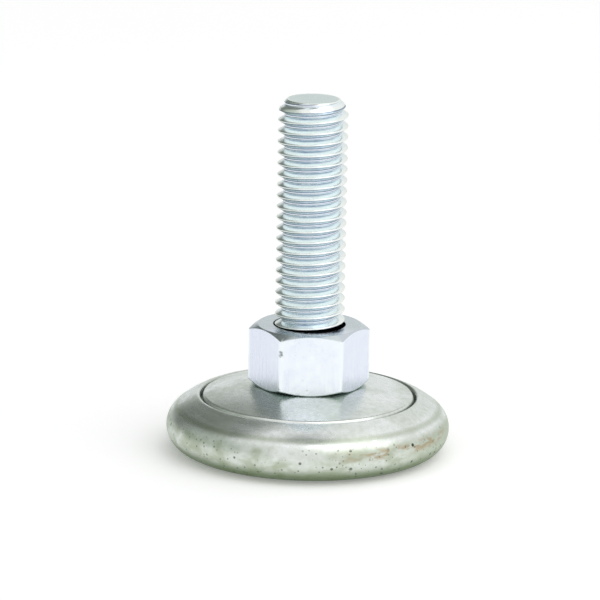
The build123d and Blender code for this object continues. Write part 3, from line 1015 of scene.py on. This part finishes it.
class LEVELINGFOOT_OT_nut(bpy.types.Operator):
    """Make the hexagon jam nut with its chamfers, countersinks, inside thread, nicks and burr"""

    bl_idname = "levelingfoot.nut"
    bl_label = "Jam nut"

    def execute(self, context):
        nut = context.scene.leveling_foot_nut
        thread = context.scene.leveling_foot_thread
        low, top = NUT_LOW.z, NUT_HIGH.z
        mesh = bmesh.new()
        helix(mesh, self.section(nut), low, top, thread)
        for vert in mesh.verts:
            depth = min(vert.co.z - low, top - vert.co.z)
            mouth = nut.mouth_radius - depth / tan(FLANK_ANGLE)
            far = sqrt(vert.co.x**2 + vert.co.y**2)
            if far < mouth:
                vert.co.x *= mouth / far
                vert.co.y *= mouth / far
        inner_low, inner_top = rim_at(mesh, low), rim_at(mesh, top)
        shell = bmesh.new()
        self.shell(shell, nut, low, top)
        data = bpy.data.meshes.new("nut_shell")
        shell.to_mesh(data)
        shell.free()
        known = set(mesh.edges)
        mesh.from_mesh(data)
        bpy.data.meshes.remove(data)
        for height, inner in ((low, inner_low), (top, inner_top)):
            outer = [edge for edge in rim_at(mesh, height) if edge not in known]
            bmesh.ops.bridge_loops(mesh, edges=inner + outer)
        for angle, height, radius, depth in (NUT_NICK, (*NUT_BURR, -nut.burr / MM), *NUT_DENTS):
            place = self.on_outside(nut, angle, height)
            dent(mesh, place, radius * MM, depth * MM)
        nick = self.on_outside(nut, *NUT_NICK[:2])
        finish = nut_material(context.scene.leveling_foot_colours, low, top, nut.chamfer_circle, nick)
        piece = make_object(mesh, "nut", finish, 32.0)
        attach(piece, "nut")
        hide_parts("hex_nut")
        return {"FINISHED"}

    def on_outside(self, nut, angle, height):
        """Point on the nut's flats or corners, from an angle in degrees and a height in millimetres."""
        far = hexagon_radius(radians(angle), NUT_HIGH.y, nut.corner_rounding)
        return Vector((*on_circle((0, 0), far, radians(angle)), height * MM))

    def section(self, nut):
        """One pitch of the inside thread, from the middle of one ridge to the middle of the next."""
        land = nut.crest_width / 2
        reach = land + (nut.tap_radius - nut.bore_radius) * tan(FLANK_ANGLE)
        bore, tap = nut.bore_radius, nut.tap_radius
        rising = [(bore, 0.0), (bore, land)] + run((bore, land), (tap, reach), 4) + [(tap, reach)]
        falling = [(radius, THREAD_PITCH - height) for radius, height in reversed(rising[1:])]
        return rising + falling

    def shell(self, mesh, nut, low, top):
        """Outside of the nut: a lathed drum pushed out to a rounded hexagon under conical chamfers."""
        flat = NUT_HIGH.y
        widest = flat / cos(radians(30))
        circle = nut.chamfer_circle
        drop = (widest - circle) * tan(FLANK_ANGLE)
        soft = nut.edge_rounding
        mouth = nut.mouth_radius + 0.12 * MM
        half = [(mouth, 0.0)] + run((mouth, 0.0), (circle, 0.0), 4)
        half += rounded((mouth, 0.0), (circle, 0.0), (widest, drop), soft, 3)
        half += run(half[-1], (widest, drop), 5)[:-1]
        half += rounded((circle, 0.0), (widest, drop), (widest, (top - low) / 2), soft, 5)
        rows = run(half[-1], (widest, top - low - half[-1][1]), nut.rows)
        lower = [(radius, low + height) for radius, height in half]
        between = [(radius, low + height) for radius, height in rows]
        upper = [(radius, top - height) for radius, height in reversed(half)]
        lathe(mesh, lower + between + upper, nut.steps, closed=False)
        for vert in mesh.verts:
            far = sqrt(vert.co.x**2 + vert.co.y**2)
            if far <= circle:
                continue
            reach = hexagon_radius(atan2(vert.co.y, vert.co.x), flat, nut.corner_rounding)
            depth = min(vert.co.z - low, top - vert.co.z)
            shrink = (reach - circle) / (widest - circle)
            new_far = circle + (far - circle) * shrink
            if depth < drop:
                new_depth = depth * shrink
            else:
                free = (top - low) / 2
                new_depth = free - (free - depth) * (free - drop * shrink) / (free - drop)
            side = 1 if vert.co.z > (low + top) / 2 else -1
            vert.co.x *= new_far / far
            vert.co.y *= new_far / far
            vert.co.z = (top - new_depth) if side > 0 else (low + new_depth)


def hexagon_radius(angle, flat, rounding):
    """Distance from the axis to a rounded hexagon with its corners at multiples of 60 degrees."""
    off_corner = (angle + radians(30)) % radians(60) - radians(30)
    corner_centre = (flat - rounding) / cos(radians(30))
    across = corner_centre * sin(abs(off_corner))
    if across < rounding:
        hit = corner_centre * cos(off_corner) + sqrt(rounding**2 - across**2)
        if hit * sin(abs(off_corner)) <= rounding * sin(radians(30)):
            return hit
    return flat / cos(radians(30) - abs(off_corner))


class LEVELINGFOOT_OT_inside(bpy.types.Operator):
    """Give the hidden CAD pieces inside the base their finishes"""

    bl_idname = "levelingfoot.inside"
    bl_label = "Hidden pieces"

    def execute(self, context):
        colours = context.scene.leveling_foot_colours
        steel = mill_material(colours)
        for name in ("stiffener_ring", "backing_plate"):
            frame["nodes"][name].data.materials.clear()
            frame["nodes"][name].data.materials.append(steel)
        washer = nylon_material("Natural nylon", tuple(colours.washer), 0.015 * MM)
        frame["nodes"]["thrust_washer"].data.materials.clear()
        frame["nodes"]["thrust_washer"].data.materials.append(washer)
        return {"FINISHED"}


OVERHEAD = (0.972, 0.996)  # the duller spot straight overhead fades in between these rises
OVERHEAD_TONE = (0.34, 0.36, 0.35)
# Darker parts of the room: azimuth from behind, elevation, full and faded half width, and tone
ROOM_PATCHES = (
    (-45.0, 35.0, 28.0, 38.0, (0.20, 0.22, 0.20)),
    (-95.0, 12.0, 18.0, 50.0, (0.55, 0.60, 0.55)),
)
FLOOR_RADIUS = 6.0
FLOOR_DROP = 0.02 * MM  # keeps the floor just clear of the pad's underside
FLOOR_GLOW = 0.22


class LEVELINGFOOT_OT_stage(bpy.types.Operator):
    """Lay the pale floor, light the room and set up the camera"""

    bl_idname = "levelingfoot.stage"
    bl_label = "Stage"

    def execute(self, context):
        studio = context.scene.leveling_foot_studio
        self.floor(context)
        self.room(context, studio)
        self.lamp("key", place=(0.50, -0.45, 0.80), size=1.0, power=2.6)
        self.camera(context, studio)
        context.scene.view_settings.view_transform = "Standard"
        return {"FINISHED"}

    def floor(self, context):
        """Round pale floor, far wider than the view."""
        mesh = bmesh.new()
        bmesh.ops.create_circle(mesh, cap_ends=True, radius=FLOOR_RADIUS, segments=96)
        bmesh.ops.translate(mesh, verts=mesh.verts, vec=(0, 0, -FLOOR_DROP))
        made, work, surface, place = new_material("Studio floor")
        tone = context.scene.leveling_foot_colours.floor
        dusty = tuple(0.98 * part for part in tone)
        cloud = work.remap(work.noise(place, 2.2, 2.0), 0.3, 0.7)
        work.feed(surface.inputs["Base Color"], work.mix(cloud, tone, dusty))
        surface.inputs["Roughness"].default_value = 0.85
        surface.inputs["Specular IOR Level"].default_value = 0.1
        surface.inputs["Emission Color"].default_value = (1.0, 1.0, 1.0, 1.0)
        surface.inputs["Emission Strength"].default_value = FLOOR_GLOW
        data = bpy.data.meshes.new("floor")
        mesh.to_mesh(data)
        mesh.free()
        data.materials.append(made)
        floor = bpy.data.objects.new("floor", data)
        context.collection.objects.link(floor)

    def room(self, context, studio):
        """White room light, duller straight overhead, with a dark opening high on the left behind."""
        world = bpy.data.worlds.new("Room")
        world.use_nodes = True
        context.scene.world = world
        work = Shader(world.node_tree)
        way = work.node("ShaderNodeTexCoord").outputs["Generated"]
        up = work.node("ShaderNodeSeparateXYZ", {"Vector": way}).outputs[2]
        light = work.mix(work.remap(up, *OVERHEAD), (1.0, 1.0, 1.0), OVERHEAD_TONE)
        for azimuth, elevation, inner, outer, tone in ROOM_PATCHES:
            flat = cos(radians(elevation))
            aim = (flat * sin(radians(azimuth)), flat * cos(radians(azimuth)), sin(radians(elevation)))
            facing = work.node("ShaderNodeVectorMath", {0: way, 1: aim}, operation="DOT_PRODUCT")
            spot = work.remap(facing.outputs["Value"], cos(radians(outer)), cos(radians(inner)))
            light = work.mix(spot, light, tone)
        background = world.node_tree.nodes["Background"]
        work.feed(background.inputs["Color"], light)
        background.inputs["Strength"].default_value = studio.sky

    def lamp(self, name, place, size, power):
        """Large soft square lamp aimed at the foot."""
        data = bpy.data.lights.new(name, "AREA")
        data.size = size
        data.energy = power
        made = bpy.data.objects.new(name, data)
        made.location = place
        made.rotation_euler = (Vector((0, 0, 0.02)) - Vector(place)).to_track_quat("-Z", "Y").to_euler()
        bpy.context.collection.objects.link(made)

    def camera(self, context, studio):
        """Long-lens camera in front of the foot, looking a little down."""
        data = bpy.data.cameras.new("camera")
        data.lens = studio.lens
        data.sensor_width = 36.0
        data.clip_start = 0.01
        made = bpy.data.objects.new("camera", data)
        context.collection.objects.link(made)
        context.scene.camera = made
        level = Matrix.Rotation(pi / 2 - studio.down, 4, "X")
        lean = Matrix.Rotation(studio.lean, 4, "Z")
        stand = Matrix.Translation((0, -studio.distance, studio.height))
        around = Matrix.Rotation(studio.around, 4, "Z")
        aside = Matrix.Rotation(-studio.aside, 4, "Z")
        made.matrix_world = around @ stand @ aside @ level @ lean


# ---- Panel, registration and the run ----


class LEVELINGFOOT_PT_panel(bpy.types.Panel):
    """Lists the makers and their sizes in the sidebar"""

    bl_label = "Leveling Foot"
    bl_idname = "LEVELINGFOOT_PT_panel"
    bl_space_type = "VIEW_3D"
    bl_region_type = "UI"
    bl_category = "Leveling Foot"

    def draw(self, context):
        layout = self.layout
        for operator in OPERATORS:
            layout.operator(operator.bl_idname)
        for name, _ in SETTINGS:
            box = layout.box()
            group = getattr(context.scene, name)
            for key in group.bl_rna.properties.keys():
                if key not in ("rna_type", "name"):
                    box.prop(group, key)


SETTINGS = (
    ("leveling_foot_thread", LevelingFootThread),
    ("leveling_foot_nut", LevelingFootNut),
    ("leveling_foot_base", LevelingFootBase),
    ("leveling_foot_colours", LevelingFootColours),
    ("leveling_foot_studio", LevelingFootStudio),
)
OPERATORS = (
    LEVELINGFOOT_OT_stage,
    LEVELINGFOOT_OT_rim,
    LEVELINGFOOT_OT_plate,
    LEVELINGFOOT_OT_pad,
    LEVELINGFOOT_OT_stud,
    LEVELINGFOOT_OT_nut,
    LEVELINGFOOT_OT_inside,
)


def register():
    """Registers the settings, operators and panel."""
    for name, group in SETTINGS:
        bpy.utils.register_class(group)
        setattr(bpy.types.Scene, name, PointerProperty(type=group))
    for operator in OPERATORS:
        bpy.utils.register_class(operator)
    bpy.utils.register_class(LEVELINGFOOT_PT_panel)


def unregister():
    """Takes them all away again."""
    bpy.utils.unregister_class(LEVELINGFOOT_PT_panel)
    for operator in reversed(OPERATORS):
        bpy.utils.unregister_class(operator)
    for name, group in reversed(SETTINGS):
        delattr(bpy.types.Scene, name)
        bpy.utils.unregister_class(group)


def corners(box):
    """A box as plain lists of numbers."""
    return [[float(part) for part in corner] for corner in box]


def main():
    """Registers the add-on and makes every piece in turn."""
    register()
    bpy.ops.levelingfoot.stage()
    bpy.ops.levelingfoot.rim()
    bpy.ops.levelingfoot.plate()
    bpy.ops.levelingfoot.pad()
    bpy.ops.levelingfoot.stud()
    bpy.ops.levelingfoot.nut()
    bpy.ops.levelingfoot.inside()


if __name__ == "__main__":
    main()
